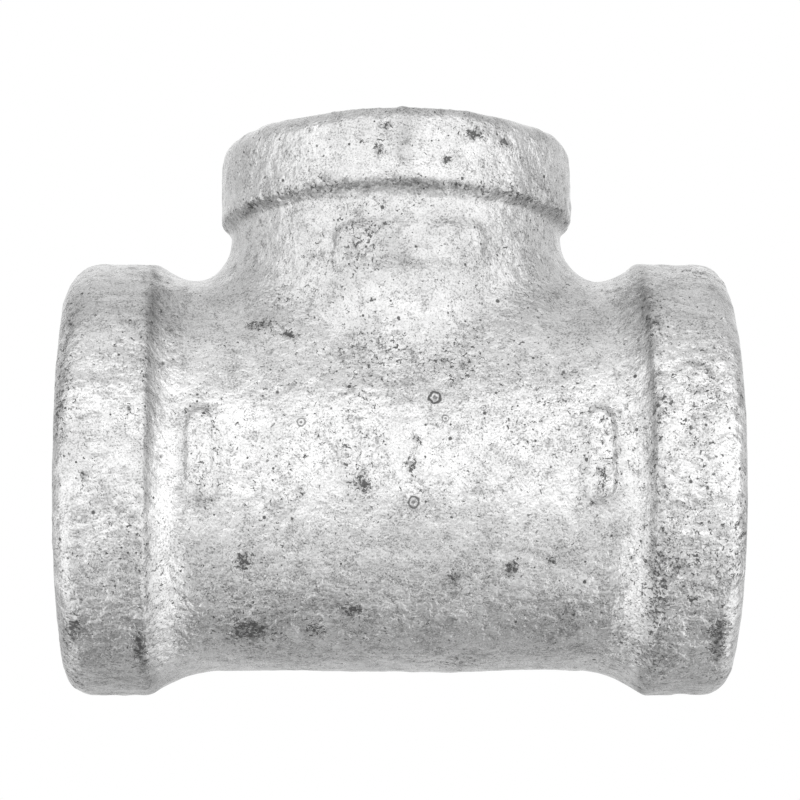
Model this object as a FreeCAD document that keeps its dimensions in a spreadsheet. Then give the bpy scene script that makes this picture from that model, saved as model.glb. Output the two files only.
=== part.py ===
import FreeCAD, Part
import math
import Sketcher
import os

# Banded reducing tee for threaded pipe: run 1 inch, branch 3/4 inch.
# X runs along the run, Z up the branch, origin where the two axes cross.
# The casting is one piece of iron; it is divided here at its own features,
# and the divided pieces meet face to face.

doc = FreeCAD.newDocument("ReducingTee")
V = FreeCAD.Vector

# ---------------------------------------------------------------- dimensions
DIMENSIONS = [
    ("run_half_length", 34.8, "axis crossing to either run face"),
    ("run_barrel_radius", 20.3, "outside of the run between its bands"),
    ("run_band_radius", 22.8, "outside of the run end bands"),
    ("run_band_width", 8.9, "width of the run end bands"),
    ("run_band_round", 2.2, "outer corner round of the run end bands"),
    ("run_slope_length", 4.2, "soft slope from band down to barrel"),
    ("run_waterway_radius", 16.4, "cored waterway of the run"),
    ("run_sleeve_radius", 17.6, "outside of the threaded wall in the run"),
    ("run_sleeve_start", 14.5, "axis crossing to inner end of threaded wall"),
    ("branch_height", 36.2, "axis crossing to branch face"),
    ("neck_radius", 17.6, "outside of the branch below its band"),
    ("neck_fillet_radius", 4.0, "fillet where the neck leaves the barrel"),
    ("branch_band_radius", 18.7, "outside of the branch end band"),
    ("branch_band_width", 8.7, "width of the branch end band"),
    ("branch_band_round", 1.4, "outer corner round of the branch band"),
    ("branch_slope_length", 1.5, "soft slope from branch band to neck"),
    ("branch_waterway_radius", 13.3, "cored waterway of the branch"),
    ("branch_sleeve_radius", 14.3, "outside of the threaded wall in the branch"),
    ("branch_sleeve_start", 19.5, "axis crossing to inner end of branch thread wall"),
    ("neck_seam_radius", 21.3, "radius about the run where neck meets barrel"),
    ("neck_seam_reach", 20.0, "radius about the branch that holds the neck"),
    ("run_thread_pitch", 2.209, "11.5 threads per inch"),
    ("run_thread_length", 16.8, "length of the run threads"),
    ("run_mouth_minor", 14.847, "thread crest radius at the run face"),
    ("run_mouth_chamfer", 16.9, "chamfer radius at the run face"),
    ("branch_thread_pitch", 1.814, "14 threads per inch"),
    ("branch_thread_length", 14.05, "length of the branch thread"),
    ("branch_mouth_minor", 11.833, "thread crest radius at the branch face"),
    ("branch_mouth_chamfer", 13.6, "chamfer radius at the branch face"),
    ("taper_per_length", 0.03125, "radius change per length, 1 in 16 on diameter"),
    ("crest_flat_ratio", 0.12, "crest flat over pitch"),
    ("root_flat_ratio", 0.06, "root flat over pitch"),
    ("boss_offset", 20.2, "axis crossing to centre of each oblong boss"),
    ("boss_half_width", 1.5, "half width of an oblong boss, also its end radius"),
    ("boss_half_height", 4.8, "half height of an oblong boss"),
    ("boss_relief", 0.7, "height of an oblong boss above the barrel"),
    ("boss_round", 0.45, "soft edge of an oblong boss"),
    ("pad_offset", 1.0, "neck pad centre from the branch axis"),
    ("pad_centre_height", 22.1, "neck pad centre above the run axis"),
    ("pad_half_width", 7.8, "half width of the neck pad"),
    ("pad_half_height", 2.5, "half height of the neck pad"),
    ("pad_corner", 1.6, "corner radius of the neck pad"),
    ("pad_relief", 0.55, "height of the neck pad above the neck"),
    ("pad_round", 0.35, "soft edge of the neck pad"),
    ("overrun", 3.0, "how far cutting profiles run past a face"),
]

sheet = doc.addObject("Spreadsheet::Sheet", "Dimensions")
for row, (alias, value, note) in enumerate(DIMENSIONS, start=1):
    sheet.set("A" + str(row), alias)
    sheet.set("B" + str(row), str(value))
    sheet.set("C" + str(row), note)
    sheet.setAlias("B" + str(row), alias)
doc.recompute()


class Term:
    """A number together with the sheet formula that yields it."""

    def __init__(self, value, text):
        self.value = value
        self.text = text

    def __add__(self, other):
        return Term(self.value + other.value, "(" + self.text + " + " + other.text + ")")

    def __sub__(self, other):
        return Term(self.value - other.value, "(" + self.text + " - " + other.text + ")")

    def __mul__(self, other):
        return Term(self.value * other.value, "(" + self.text + " * " + other.text + ")")

    def __truediv__(self, other):
        return Term(self.value / other.value, "(" + self.text + " / " + other.text + ")")

    def __neg__(self):
        return Term(-self.value, "(0 - " + self.text + ")")


def dim(alias):
    return Term(float(sheet.get(alias)), "Dimensions." + alias)


def number(value):
    return Term(value, str(value))


ZERO = number(0.0)
TWO = number(2.0)


# ------------------------------------------------------------------ sketches
def origin_plane(body, role):
    for feature in body.Origin.OriginFeatures:
        if feature.Role == role:
            return feature


def arc_centre(start, end, radius, turn):
    """Centre of the short arc from start to end; turn is 1 counter-clockwise, -1 clockwise."""
    middle = (start + end) * 0.5
    chord = end - start
    half = chord.Length * 0.5
    rise = math.sqrt(max(radius * radius - half * half, 0.0))
    normal = V(-chord.y, chord.x, 0.0)
    normal.normalize()
    return middle + normal * (rise * turn)


def pin_point(sketch, geometry, position, point, tag):
    """Fix one sketch point at the two sheet formulas of point."""
    for axis, kind, term in ((-2, "DistanceX", point[0]), (-1, "DistanceY", point[1])):
        if term.text == ZERO.text:
            constraint = Sketcher.Constraint("PointOnObject", geometry, position, axis)
            sketch.addConstraint(constraint)
            continue
        constraint = Sketcher.Constraint(kind, -1, 1, geometry, position, term.value)
        index = sketch.addConstraint(constraint)
        name = tag + ("x" if kind == "DistanceX" else "y")
        sketch.renameConstraint(index, name)
        sketch.setExpression("Constraints." + name, term.text)


def add_profile(body, name, outline):
    """Closed profile on the XZ plane.

    outline is a list of (x, z, arc), where arc is None for a straight side to the
    next point, or (radius, turn) for a round one.
    """
    sketch = body.newObject("Sketcher::SketchObject", name)
    sketch.AttachmentSupport = [(origin_plane(body, "XZ_Plane"), "")]
    sketch.MapMode = "FlatFace"
    count = len(outline)
    ends = []
    for index, (x, z, arc) in enumerate(outline):
        following = outline[(index + 1) % count]
        start = V(x.value, z.value, 0.0)
        end = V(following[0].value, following[1].value, 0.0)
        if arc is None:
            sketch.addGeometry(Part.LineSegment(start, end), False)
            ends.append((1, 2))
            continue
        radius, turn = arc
        centre = arc_centre(start, end, radius.value, turn)
        circle = Part.Circle(centre, V(0, 0, 1), radius.value)
        first = math.atan2(start.y - centre.y, start.x - centre.x)
        last = math.atan2(end.y - centre.y, end.x - centre.x)
        if turn > 0:
            sketch.addGeometry(Part.ArcOfCircle(circle, first, last), False)
            ends.append((1, 2))
        else:
            sketch.addGeometry(Part.ArcOfCircle(circle, last, first), False)
            ends.append((2, 1))
    for index in range(count):
        after = (index + 1) % count
        joint = Sketcher.Constraint("Coincident", index, ends[index][1], after, ends[after][0])
        sketch.addConstraint(joint)
    for index, (x, z, arc) in enumerate(outline):
        pin_point(sketch, index, ends[index][0], (x, z), "p" + str(index))
        if arc is not None:
            size = Sketcher.Constraint("Radius", index, arc[0].value)
            place = sketch.addConstraint(size)
            sketch.renameConstraint(place, "r" + str(index))
            sketch.setExpression("Constraints.r" + str(index), arc[0].text)
    doc.recompute()
    return sketch


def turn_profile(body, name, outline, axis, kind="PartDesign::Revolution"):
    """Revolve a profile about the sketch's H_Axis (world X) or V_Axis (world Z)."""
    sketch = add_profile(body, name + "Sketch", outline)
    feature = body.newObject(kind, name)
    feature.Profile = sketch
    feature.ReferenceAxis = (sketch, [axis])
    feature.Angle = 360
    doc.recompute()
    return feature


def soft_slope_radius(length, height):
    """Radius of the two equal tangent arcs that make an S over length and height."""
    return (length * length + height * height) / (number(4.0) * height)


def edges_where(shape, test):
    names = []
    for index, edge in enumerate(shape.Edges, start=1):
        middle = edge.valueAt((edge.FirstParameter + edge.LastParameter) * 0.5)
        if test(edge, middle):
            names.append("Edge" + str(index))
    return names


def round_edges(body, name, base, edge_names, radius):
    fillet = body.newObject("PartDesign::Fillet", name)
    fillet.Base = (base, edge_names)
    fillet.setExpression("Radius", radius.text)
    doc.recompute()
    return fillet


# --------------------------------------------------------- barrel and neck shell
half_length = dim("run_half_length")
barrel_radius = dim("run_barrel_radius")
band_radius = dim("run_band_radius")
band_start = half_length - dim("run_band_width")
slope_start = band_start - dim("run_slope_length")
slope_middle = band_start - dim("run_slope_length") / TWO
slope_middle_radius = (band_radius + barrel_radius) / TWO
run_slope = soft_slope_radius(dim("run_slope_length"), band_radius - barrel_radius)

neck_radius = dim("neck_radius")
branch_height = dim("branch_height")
branch_band_radius = dim("branch_band_radius")
branch_band_start = branch_height - dim("branch_band_width")
branch_slope_start = branch_band_start - dim("branch_slope_length")
branch_slope_middle = branch_band_start - dim("branch_slope_length") / TWO
branch_middle_radius = (branch_band_radius + neck_radius) / TWO
branch_slope = soft_slope_radius(dim("branch_slope_length"), branch_band_radius - neck_radius)

overrun = dim("overrun")

shell = doc.addObject("PartDesign::Body", "TeeShell")
shell.Label = "tee_shell"

run_outline = [
    (-band_start, ZERO, None),
    (band_start, ZERO, None),
    (band_start, band_radius, (run_slope, 1)),
    (slope_middle, slope_middle_radius, (run_slope, -1)),
    (slope_start, barrel_radius, None),
    (-slope_start, barrel_radius, (run_slope, -1)),
    (-slope_middle, slope_middle_radius, (run_slope, 1)),
    (-band_start, band_radius, None),
]
turn_profile(shell, "RunOutside", run_outline, "H_Axis")

neck_outline = [
    (ZERO, ZERO, None),
    (neck_radius, ZERO, None),
    (neck_radius, branch_slope_start, (branch_slope, -1)),
    (branch_middle_radius, branch_slope_middle, (branch_slope, 1)),
    (branch_band_radius, branch_band_start, None),
    (ZERO, branch_band_start, None),
]
neck_outside = turn_profile(shell, "NeckOutside", neck_outline, "V_Axis")


def on_crossing(edge, point):
    about_branch = math.hypot(point.x, point.y)
    about_run = math.hypot(point.y, point.z)
    near_branch = abs(about_branch - neck_radius.value) < 0.02
    near_run = abs(about_run - barrel_radius.value) < 0.02
    return near_branch and near_run and point.z > 0


crossing = edges_where(neck_outside.Shape, on_crossing)
round_edges(shell, "NeckFillet", neck_outside, crossing, dim("neck_fillet_radius"))

run_sleeve_radius = dim("run_sleeve_radius")
run_sleeve_start = dim("run_sleeve_start")
run_waterway = dim("run_waterway_radius")
run_bore_outline = [
    (-(band_start + overrun), ZERO, None),
    (band_start + overrun, ZERO, None),
    (band_start + overrun, run_sleeve_radius, None),
    (run_sleeve_start, run_sleeve_radius, None),
    (run_sleeve_start, run_waterway, None),
    (-run_sleeve_start, run_waterway, None),
    (-run_sleeve_start, run_sleeve_radius, None),
    (-(band_start + overrun), run_sleeve_radius, None),
]
turn_profile(shell, "RunWaterway", run_bore_outline, "H_Axis", "PartDesign::Groove")

branch_sleeve_radius = dim("branch_sleeve_radius")
branch_sleeve_start = dim("branch_sleeve_start")
branch_waterway = dim("branch_waterway_radius")
branch_bore_outline = [
    (ZERO, ZERO, None),
    (branch_waterway, ZERO, None),
    (branch_waterway, branch_sleeve_start, None),
    (branch_sleeve_radius, branch_sleeve_start, None),
    (branch_sleeve_radius, branch_band_start + overrun, None),
    (ZERO, branch_band_start + overrun, None),
]
turn_profile(shell, "BranchWaterway", branch_bore_outline, "V_Axis", "PartDesign::Groove")


# ------------------------------------- the shell divided into barrel and neck
def bound_cylinder(name, radius, height):
    cylinder = doc.addObject("Part::Cylinder", name)
    cylinder.setExpression("Radius", radius.text)
    cylinder.setExpression("Height", height.text)
    return cylinder


neck_reach = bound_cylinder("NeckReach", dim("neck_seam_reach"), branch_height)
seam_roll = bound_cylinder("SeamRoll", dim("neck_seam_radius"), half_length * TWO)
seam_roll.Placement = FreeCAD.Placement(V(0, 0, 0), FreeCAD.Rotation(V(0, 1, 0), 90))
seam_roll.setExpression("Placement.Base.x", (-half_length).text)

neck_region = doc.addObject("Part::Cut", "NeckRegion")
neck_region.Base = neck_reach
neck_region.Tool = seam_roll

run_barrel = doc.addObject("Part::Cut", "RunBarrel")
run_barrel.Label = "run_barrel"
run_barrel.Base = shell
run_barrel.Tool = neck_region

branch_neck = doc.addObject("Part::Common", "BranchNeck")
branch_neck.Label = "branch_neck"
branch_neck.Base = shell
branch_neck.Tool = neck_region
doc.recompute()


# ------------------------------------------------------------------ end bands
def end_band(label, face, width, radius, corner, bore, placement):
    """Plain raised band around one end, turned about its own Z axis."""
    body = doc.addObject("PartDesign::Body", label)
    body.Label = label
    start = face - width
    outline = [
        (bore, start, None),
        (radius, start, None),
        (radius, face - corner, (corner, 1)),
        (radius - corner, face, None),
        (bore, face, None),
    ]
    turn_profile(body, label + "Ring", outline, "V_Axis")
    body.Placement = placement
    return body


TO_RIGHT = FreeCAD.Placement(V(0, 0, 0), FreeCAD.Rotation(V(0, 1, 0), 90))
TO_LEFT = FreeCAD.Placement(V(0, 0, 0), FreeCAD.Rotation(V(0, 1, 0), -90))
TO_TOP = FreeCAD.Placement()

run_band = [half_length, dim("run_band_width"), band_radius, dim("run_band_round"), run_sleeve_radius]
branch_band = [
    branch_height,
    dim("branch_band_width"),
    branch_band_radius,
    dim("branch_band_round"),
    branch_sleeve_radius,
]
left_band = end_band("left_end_band", *run_band, TO_LEFT)
right_band = end_band("right_end_band", *run_band, TO_RIGHT)
top_band = end_band("branch_end_band", *branch_band, TO_TOP)


# --------------------------------------------------------------- pipe threads
def pipe_thread(label, prefix, face, sleeve_radius, sleeve_start, placement):
    """Threaded wall of one port: drilled land, taper thread, mouth chamfer."""
    pitch = dim(prefix + "_thread_pitch")
    length = dim(prefix + "_thread_length")
    mouth_minor = dim(prefix + "_mouth_minor")
    chamfer = dim(prefix + "_mouth_chamfer")
    taper = dim("taper_per_length")
    thread_end = face - length
    land_radius = mouth_minor - length * taper
    chamfer_depth = chamfer - mouth_minor
    body = doc.addObject("PartDesign::Body", label)
    body.Label = label
    wall = [
        (land_radius, sleeve_start, None),
        (sleeve_radius, sleeve_start, None),
        (sleeve_radius, face, None),
        (chamfer, face, None),
        (mouth_minor - chamfer_depth * taper, face - chamfer_depth, None),
        (land_radius, thread_end, None),
    ]
    turn_profile(body, label + "Wall", wall, "V_Axis")

    flank = number(round(math.tan(math.radians(30.0)), 8))
    crest_flat = pitch * dim("crest_flat_ratio")
    root_flat = pitch * dim("root_flat_ratio")
    depth = (pitch - crest_flat - root_flat) / (TWO * flank)
    clearance = number(0.15)
    start = thread_end + pitch / TWO
    crest_radius = land_radius + (start - thread_end) * taper
    mouth_half = (pitch - crest_flat) / TWO + clearance * flank
    root_half = root_flat / TWO
    groove = [
        (crest_radius - clearance, start - mouth_half, None),
        (crest_radius + depth, start - root_half, None),
        (crest_radius + depth, start + root_half, None),
        (crest_radius - clearance, start + mouth_half, None),
    ]
    sketch = add_profile(body, label + "GrooveSketch", groove)
    helix = body.newObject("PartDesign::SubtractiveHelix", label + "Helix")
    helix.Profile = sketch
    helix.ReferenceAxis = (sketch, ["V_Axis"])
    helix.Mode = "pitch-height-angle"
    helix.setExpression("Pitch", pitch.text)
    helix.setExpression("Height", (length + pitch).text)
    helix.setExpression("Angle", "atan(Dimensions.taper_per_length)")
    helix.LeftHanded = False
    doc.recompute()
    body.Placement = placement
    return body


left_thread = pipe_thread("left_pipe_thread", "run", half_length, run_sleeve_radius, run_sleeve_start, TO_LEFT)
right_thread = pipe_thread("right_pipe_thread", "run", half_length, run_sleeve_radius, run_sleeve_start, TO_RIGHT)
top_thread = pipe_thread(
    "branch_pipe_thread", "branch", branch_height, branch_sleeve_radius, branch_sleeve_start, TO_TOP
)


# ------------------------------------------------------- raised bosses and pad
def front_block(body, name, outline, reach):
    """Prism through the front wall, from the middle plane out to reach."""
    sketch = add_profile(body, name + "Sketch", outline)
    pad = body.newObject("PartDesign::Pad", name)
    pad.Profile = sketch
    pad.setExpression("Length", reach.text)
    doc.recompute()
    return pad


def trim_between(body, name, low, high, inner, outer, axis):
    """Keep only what lies between two radii about a sketch axis."""
    far = outer + overrun + overrun
    for tag, near_side, far_side in (("Inside", ZERO, inner), ("Outside", outer, far)):
        if axis == "H_Axis":
            outline = [
                (low, near_side, None),
                (high, near_side, None),
                (high, far_side, None),
                (low, far_side, None),
            ]
        else:
            outline = [
                (near_side, low, None),
                (far_side, low, None),
                (far_side, high, None),
                (near_side, high, None),
            ]
        feature = turn_profile(body, name + tag, outline, axis, "PartDesign::Groove")
    return feature


def oblong_boss(label, side):
    """Upright oblong boss on the front of the barrel; side is -1 left, 1 right."""
    centre = number(float(side)) * dim("boss_offset")
    half_width = dim("boss_half_width")
    straight = dim("boss_half_height") - half_width
    top = barrel_radius + dim("boss_relief")
    body = doc.addObject("PartDesign::Body", label)
    body.Label = label
    outline = [
        (centre + half_width, -straight, None),
        (centre + half_width, straight, (half_width, 1)),
        (centre, dim("boss_half_height"), (half_width, 1)),
        (centre - half_width, straight, None),
        (centre - half_width, -straight, (half_width, 1)),
        (centre, -dim("boss_half_height"), (half_width, 1)),
    ]
    front_block(body, label + "Block", outline, top + overrun)
    reach = half_width + overrun
    trimmed = trim_between(body, label + "Trim", centre - reach, centre + reach, barrel_radius, top, "H_Axis")

    def on_top(edge, point):
        return math.hypot(point.y, point.z) > top.value - 0.05

    names = edges_where(trimmed.Shape, on_top)
    round_edges(body, label + "Round", trimmed, names, dim("boss_round"))
    return body


left_boss = oblong_boss("left_barrel_boss", -1)
right_boss = oblong_boss("right_barrel_boss", 1)


def blank_pad(label):
    """Low blank pad on the front of the neck."""
    centre = dim("pad_offset")
    height = dim("pad_centre_height")
    half_width = dim("pad_half_width")
    half_height = dim("pad_half_height")
    corner = dim("pad_corner")
    top = neck_radius + dim("pad_relief")
    low = height - half_height
    high = height + half_height
    near = centre - half_width
    far = centre + half_width
    body = doc.addObject("PartDesign::Body", label)
    body.Label = label
    outline = [
        (near + corner, low, None),
        (far - corner, low, (corner, 1)),
        (far, low + corner, None),
        (far, high - corner, (corner, 1)),
        (far - corner, high, None),
        (near + corner, high, (corner, 1)),
        (near, high - corner, None),
        (near, low + corner, (corner, 1)),
    ]
    front_block(body, label + "Block", outline, top + overrun)
    trimmed = trim_between(body, label + "Trim", low - overrun, high + overrun, neck_radius, top, "V_Axis")

    def on_top(edge, point):
        return math.hypot(point.x, point.y) > top.value - 0.05

    names = edges_where(trimmed.Shape, on_top)
    round_edges(body, label + "Round", trimmed, names, dim("pad_round"))
    return body


neck_pad = blank_pad("neck_pad")
doc.recompute()

# -------------------------------------------------------------------- checks
for item in doc.Objects:
    if "Invalid" in item.State or "Error" in item.State:
        raise RuntimeError(item.Name + " did not compute: " + str(item.State))

NODES = [
    run_barrel,
    branch_neck,
    left_band,
    right_band,
    top_band,
    left_thread,
    right_thread,
    top_thread,
    left_boss,
    right_boss,
    neck_pad,
]

os.makedirs("parts", exist_ok=True)
for node in NODES:
    shape = node.Shape
    if shape.isNull() or not shape.isValid():
        raise RuntimeError(node.Label + " has no valid shape")
    if len(shape.Solids) != 1:
        raise RuntimeError(node.Label + " is not one solid")
    shape.exportStep("parts/" + node.Label + ".step")
    print(node.Label, round(shape.Volume, 1), len(shape.Faces))
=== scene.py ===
import math

import bpy
import numpy as np
from mathutils import Matrix, Vector


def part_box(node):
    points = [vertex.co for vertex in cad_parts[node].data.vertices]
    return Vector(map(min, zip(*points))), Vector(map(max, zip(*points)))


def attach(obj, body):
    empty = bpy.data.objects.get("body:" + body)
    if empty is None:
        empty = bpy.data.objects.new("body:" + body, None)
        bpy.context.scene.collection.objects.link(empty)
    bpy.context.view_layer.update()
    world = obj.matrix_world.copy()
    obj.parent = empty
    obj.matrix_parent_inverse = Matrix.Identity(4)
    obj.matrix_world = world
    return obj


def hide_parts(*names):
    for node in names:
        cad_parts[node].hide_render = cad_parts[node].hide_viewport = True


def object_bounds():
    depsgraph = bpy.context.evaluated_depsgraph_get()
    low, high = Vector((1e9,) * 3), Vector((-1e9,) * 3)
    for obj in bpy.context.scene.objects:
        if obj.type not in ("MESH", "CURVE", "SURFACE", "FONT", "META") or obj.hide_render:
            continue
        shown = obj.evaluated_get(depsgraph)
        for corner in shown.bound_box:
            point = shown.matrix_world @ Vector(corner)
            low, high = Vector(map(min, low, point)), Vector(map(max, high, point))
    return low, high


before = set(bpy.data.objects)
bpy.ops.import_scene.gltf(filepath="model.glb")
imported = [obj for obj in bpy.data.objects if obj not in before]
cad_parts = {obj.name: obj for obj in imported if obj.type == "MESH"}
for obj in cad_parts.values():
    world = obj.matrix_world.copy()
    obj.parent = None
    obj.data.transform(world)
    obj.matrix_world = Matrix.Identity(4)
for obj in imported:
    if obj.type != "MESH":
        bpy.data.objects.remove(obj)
cad_low, cad_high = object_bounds()

MM = 0.001

# ---------------------------------------------------------------------- sizes
# All lengths from here to the end of the mesh code are in millimetres.
# X runs along the run, Z up the branch, and the front with the marks faces -Y.


def node_box(name):
    """Low and high corners of a CAD piece's box."""
    low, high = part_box(name)
    return np.array(low) / MM, np.array(high) / MM


run_low, run_high = node_box("right_end_band")
top_low, top_high = node_box("branch_end_band")
pad_low, pad_high = node_box("neck_pad")
boss_low, boss_high = node_box("right_barrel_boss")
sleeve_low, sleeve_high = node_box("right_pipe_thread")
top_sleeve_low, top_sleeve_high = node_box("branch_pipe_thread")

RUN_FACE = run_high[0]
RUN_BAND_START = run_low[0]
RUN_BAND_RADIUS = run_high[2]
TOP_FACE = top_high[2]
TOP_BAND_START = top_low[2]
TOP_BAND_RADIUS = top_high[0]
BOSS_OFFSET = (boss_low[0] + boss_high[0]) / 2
BOSS_HALF_WIDTH = (boss_high[0] - boss_low[0]) / 2
BOSS_HALF_HEIGHT = (boss_high[2] - boss_low[2]) / 2
PAD_CENTRE = ((pad_low[0] + pad_high[0]) / 2, (pad_low[2] + pad_high[2]) / 2)
PAD_HALF = ((pad_high[0] - pad_low[0]) / 2, (pad_high[2] - pad_low[2]) / 2)
PAD_CORNER = 1.6
RUN_SLEEVE_RADIUS = sleeve_high[2]
RUN_SLEEVE_START = sleeve_low[0]
TOP_SLEEVE_RADIUS = top_sleeve_high[0]
TOP_SLEEVE_START = top_sleeve_low[2]

# Walls of the casting; the CAD has the same radii.
BARREL_RADIUS = 20.3
NECK_RADIUS = 17.6
RUN_WATERWAY_RADIUS = 16.4
TOP_WATERWAY_RADIUS = 13.3
RUN_MOUTH_RADIUS = 16.9
TOP_MOUTH_RADIUS = 13.6

# Worn corners, the slopes up to the bands, and the fillet at the neck's foot.
RUN_CORNER = 2.2
TOP_CORNER = 1.5
RUN_SLOPE = 4.0
BARREL_CROWN = 0.55
BAND_LEAN = 0.45
TOP_SLOPE = 1.7
TOP_BAND_ARCH = 1.1
SLOPE_POWER = 2.1
SLOPE_OVERSHOOT = 1.08
SIDE_FILLET = 4.8
FRONT_FILLET = 1.5
BOSS_RELIEF = 0.6
PAD_RELIEF = 0.30

# The neck's piece starts at this distance from the run's axis, and reaches this far from its own.
SEAM_RADIUS = 21.3
SEAM_REACH = 20.0

# How far the skin stands past the CAD's end faces, and what share of the relief they have.
FACE_COVER = 0.04
END_FACE_SHARE = 0.35

# Mesh steps of the outer and the inner skin.
FINE = 0.33
COARSE = 0.60


# ------------------------------------------------------------ shape of the casting
def smooth_min(a, b, k):
    """The smaller of two fields, with their meeting smoothed over about k."""
    blend = np.clip(0.5 + 0.5 * (b - a) / k, 0.0, 1.0)
    return b * (1 - blend) + a * blend - k * blend * (1 - blend)


def round_union(a, b, radius):
    """Union whose crease is filled with a fillet of that radius."""
    inside = np.hypot(np.maximum(radius - a, 0.0), np.maximum(radius - b, 0.0))
    return np.maximum(radius, np.minimum(a, b)) - inside


def round_corner(a, b, radius):
    """Intersection whose edge is rounded to that radius."""
    beyond = np.hypot(np.maximum(a + radius, 0.0), np.maximum(b + radius, 0.0))
    return np.minimum(np.maximum(a + radius, b + radius), 0.0) + beyond - radius


def rise(value, low, high):
    """Smooth step from 0 at low to 1 at high."""
    share = np.clip((value - low) / (high - low), 0.0, 1.0)
    return share * share * (3.0 - 2.0 * share)


def bell(value, centre, width):
    """Smooth hump, 1 at the centre."""
    return np.exp(-(((value - centre) / width) ** 2))


def banded_radius(along, start, band, plain, slope):
    """Outside radius along one end: plain wall, hollow slope, then the band."""
    run_up = np.clip(1.0 - (start - along) / slope, 0.0, 1.3)
    climb = plain + (band - plain) * SLOPE_OVERSHOOT * run_up**SLOPE_POWER
    return smooth_min(climb, np.full_like(climb, band), 0.35)


def slope_length(x, y, z):
    """The slope behind a run band is longest underneath and shortest in front."""
    angle = np.arctan2(z, -y)
    below = np.where(z < 0, 0.75, 0.25) * np.sin(angle) ** 2
    left = np.where(x < 0, 0.2, 0.0) * np.sin(angle) ** 2
    return RUN_SLOPE * (1.0 + below + left)


def run_outside(x, y, z):
    """Distance field of the solid run.

    The barrel stands a little higher on top, where the bands also reach further in.
    """
    along = np.abs(x)
    start = RUN_BAND_START - BAND_LEAN * (z / RUN_BAND_RADIUS) ** 3
    plain = BARREL_RADIUS + BARREL_CROWN * rise(z, 13.0, 20.0)
    radius = banded_radius(along, start, RUN_BAND_RADIUS, plain, slope_length(x, y, z))
    corner = RUN_CORNER + np.where(x < 0, 1.5, 1.1) * rise(z, 2.0, 18.0)
    corner += np.where(x < 0, 0.5, 0.15) * rise(-z, 4.0, 18.0)
    return round_corner(np.hypot(y, z) - radius, along - RUN_FACE - FACE_COVER, corner)


def top_band_start(y):
    """Height where the branch band begins: higher in front and behind than at the sides."""
    return TOP_BAND_START + TOP_BAND_ARCH * np.minimum((y / NECK_RADIUS) ** 2, 1.0)


def branch_outside(x, y, z):
    """Distance field of the solid branch above the run's axis."""
    radius = banded_radius(z, top_band_start(y), TOP_BAND_RADIUS, NECK_RADIUS, TOP_SLOPE)
    wall = np.hypot(x, y) - radius
    corner = TOP_CORNER + 1.2 * rise(-x, 0.0, 12.0) + 0.8 * rise(x, 4.0, 14.0)
    return np.maximum(round_corner(wall, z - TOP_FACE - FACE_COVER, corner), -z)


def oblong(x, z, centre):
    """Distance in the front view to the outline of one barrel boss."""
    straight = BOSS_HALF_HEIGHT - BOSS_HALF_WIDTH
    return np.hypot(x - centre, z - np.clip(z, -straight, straight)) - BOSS_HALF_WIDTH


def pad_outline(x, z):
    """Distance in the front view to the outline of the neck pad."""
    dx = np.abs(x - PAD_CENTRE[0]) - PAD_HALF[0] + PAD_CORNER
    dz = np.abs(z - PAD_CENTRE[1]) - PAD_HALF[1] + PAD_CORNER
    beyond = np.hypot(np.maximum(dx, 0.0), np.maximum(dz, 0.0))
    return beyond + np.minimum(np.maximum(dx, dz), 0.0) - PAD_CORNER


def outside(points):
    """Distance field of the casting as if it were solid right through."""
    x, y, z = points
    fillet = FRONT_FILLET + (SIDE_FILLET - FRONT_FILLET) * rise(np.abs(x), 4.0, 15.0)
    solid = round_union(run_outside(x, y, z), branch_outside(x, y, z), fillet)
    for side in (-1, 1):
        over = np.hypot(y, z) - BARREL_RADIUS - BOSS_RELIEF
        boss = np.maximum(round_corner(oblong(x, z, side * BOSS_OFFSET) + 0.25, over, 0.55), y)
        solid = smooth_min(solid, boss, 0.75)
    return solid


def hollow(points):
    """Distance field of the waterway with the pockets that hold the threaded walls."""
    x, y, z = points
    along = np.abs(x)
    run_lip = np.clip(RUN_MOUTH_RADIUS + (RUN_FACE - along), RUN_MOUTH_RADIUS, RUN_SLEEVE_RADIUS)
    run_radius = np.where(along > RUN_SLEEVE_START, run_lip, RUN_WATERWAY_RADIUS)
    run_hole = np.hypot(y, z) - run_radius
    top_lip = np.clip(TOP_MOUTH_RADIUS + (TOP_FACE - z), TOP_MOUTH_RADIUS, TOP_SLEEVE_RADIUS)
    top_radius = np.where(z > TOP_SLEEVE_START, top_lip, TOP_WATERWAY_RADIUS)
    top_hole = np.maximum(np.hypot(x, y) - top_radius, -z)
    return smooth_min(run_hole, top_hole, 0.8)


def gradient(field, points):
    """Slope of the field at each point."""
    step = 0.02
    slopes = []
    for axis in range(3):
        shift = np.zeros((3, 1))
        shift[axis] = step
        slopes.append((field(points + shift) - field(points - shift)) / (2 * step))
    return np.array(slopes)


# -------------------------------------------------- surface mesh of a distance field
CORNERS = [(0, 0, 0), (1, 0, 0), (0, 1, 0), (1, 1, 0), (0, 0, 1), (1, 0, 1), (0, 1, 1), (1, 1, 1)]
CELL_EDGES = [(a, a + step) for step in (1, 2, 4) for a in range(8) if not a & step]


def field_grid(field, low, high, step):
    """Field values on a regular grid, one slab at a time to keep memory small."""
    axes = [np.arange(low[i], high[i] + step, step) for i in range(3)]
    values = np.empty([len(a) for a in axes], np.float32)
    y, z = np.meshgrid(axes[1], axes[2], indexing="ij")
    for index, x in enumerate(axes[0]):
        values[index] = field((np.full_like(y, x), y, z))
    return axes, values


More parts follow.
